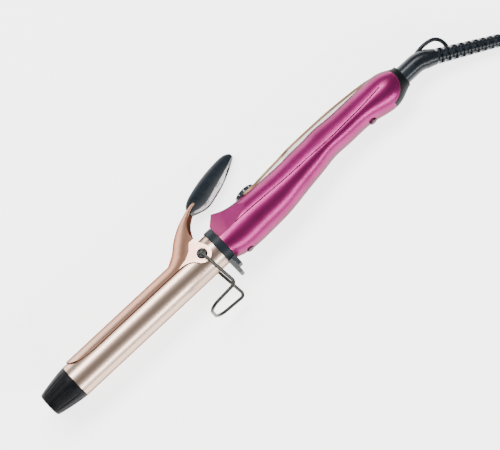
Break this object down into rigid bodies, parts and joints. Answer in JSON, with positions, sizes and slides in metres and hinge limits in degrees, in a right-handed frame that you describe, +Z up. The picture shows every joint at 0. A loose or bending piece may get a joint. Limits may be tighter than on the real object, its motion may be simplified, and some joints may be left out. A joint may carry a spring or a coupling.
{
  "type": "curling iron",
  "caption": "Hand-held hair curling iron with a sprung clamp and thumb lever, folding wire rest, temperature dial and a swivelling mains lead.",
  "frame": {"origin": "centre of the iron's box (lead, coil and plug left out) at table height", "axes": "the iron lies on its side on the table: +X from the cool tip to the handle, +Y to the thumb lever's side, +Z up"},
  "size_m": [0.5339, 0.1178, 0.042],
  "materials": {
    "barrel_metal": "satin champagne rose-gold anodised",
    "black_tip": "satin black, heat resistant",
    "dark_pad": "matt dark grey",
    "gloss_black": "high gloss black",
    "pale_plate": "satin pale grey",
    "magenta_shell": "pearlescent magenta lacquer on plastic",
    "gold_panel": "satin brownish gold",
    "pale_bezel": "gloss pale silver",
    "stand_wire": "dark olive-grey heat-tinted wire",
    "steel": "bright",
    "dark_steel": "blackened",
    "holder_plastic": "matt, glass filled",
    "spreader": "extruded",
    "heater": "fired",
    "film": "amber polyimide",
    "lens": "clear red",
    "board": "green laminate",
    "components": "moulded",
    "wire_cover": "silicone sleeve",
    "copper": "bright",
    "boot_rubber": "glossy black PVC",
    "tie": "matt black strap",
    "pins": "nickel plated"
  },
  "bodies": {
    "handle": {"barrel": "barrel_metal", "cool_tip": "black_tip", "tip_insulator": "holder_plastic", "heat_spreader_upper": "spreader", "heat_spreader_lower": "spreader", "ptc_heater": "heater", "insulating_film": "film", "thermal_fuse": "heater", "barrel_holder": "holder_plastic", "collar": "black_tip", "rest_pad": "dark_pad", "pivot_screws": "dark_steel", "return_spring": "steel", "handle_upper_shell": "magenta_shell", "handle_lower_shell": "magenta_shell", "top_panel": "gold_panel", "panel_bezel": "pale_bezel", "dial_switch": "holder_plastic", "indicator_lens": "lens", "circuit_board": "board", "board_components": "components", "heater_leads": "wire_cover", "handle_screws": "steel", "screw_plugs": "magenta_shell", "end_cap": "black_tip", "swivel_bushes": "holder_plastic", "contact_block": "holder_plastic", "brush_contacts": "copper", "supply_leads": "wire_cover"},
    "clamp": {"clamp": "barrel_metal", "lever_shell": "gloss_black", "lever_plate": "pale_plate"},
    "rest": {"wire_rest": "stand_wire"},
    "dial": {"temperature_dial": "gloss_black", "dial_shaft": "holder_plastic"},
    "lead": {"swivel_spool": "holder_plastic", "slip_rings": "copper", "cord_boot": "boot_rubber", "cord": "boot_rubber", "cord_coil": "boot_rubber", "cord_tie": "tie", "cord_tail": "boot_rubber", "plug_body": "boot_rubber", "plug_pins": "pins"}
  },
  "joints": [
    {"name": "clamp_hinge", "type": "hinge", "parent": "handle", "child": "clamp", "pos_m": [-0.05652, -0.00475, 0.01702], "axis": [-0.0202, -0.2705, -0.9625], "range_deg": [0, 17], "stiffness_Nm_per_rad": 0.25, "springref_deg": -20.05},
    {"name": "rest_hinge", "type": "hinge", "parent": "handle", "child": "rest", "pos_m": [-0.05652, -0.00475, 0.01702], "axis": [-0.0202, -0.2705, -0.9625], "range_deg": [-60, 33]},
    {"name": "dial_turn", "type": "hinge", "parent": "handle", "child": "dial", "pos_m": [-0.00661, 0.00873, 0.01218], "axis": [-0.0057, 0.9627, -0.2705], "range_deg": [0, 270]},
    {"name": "lead_swivel", "type": "hinge", "parent": "handle", "child": "lead", "pos_m": [0.10945, -0.00475, 0.01354], "axis": [0.9998, 0, -0.0209], "continuous": true}
  ]
}
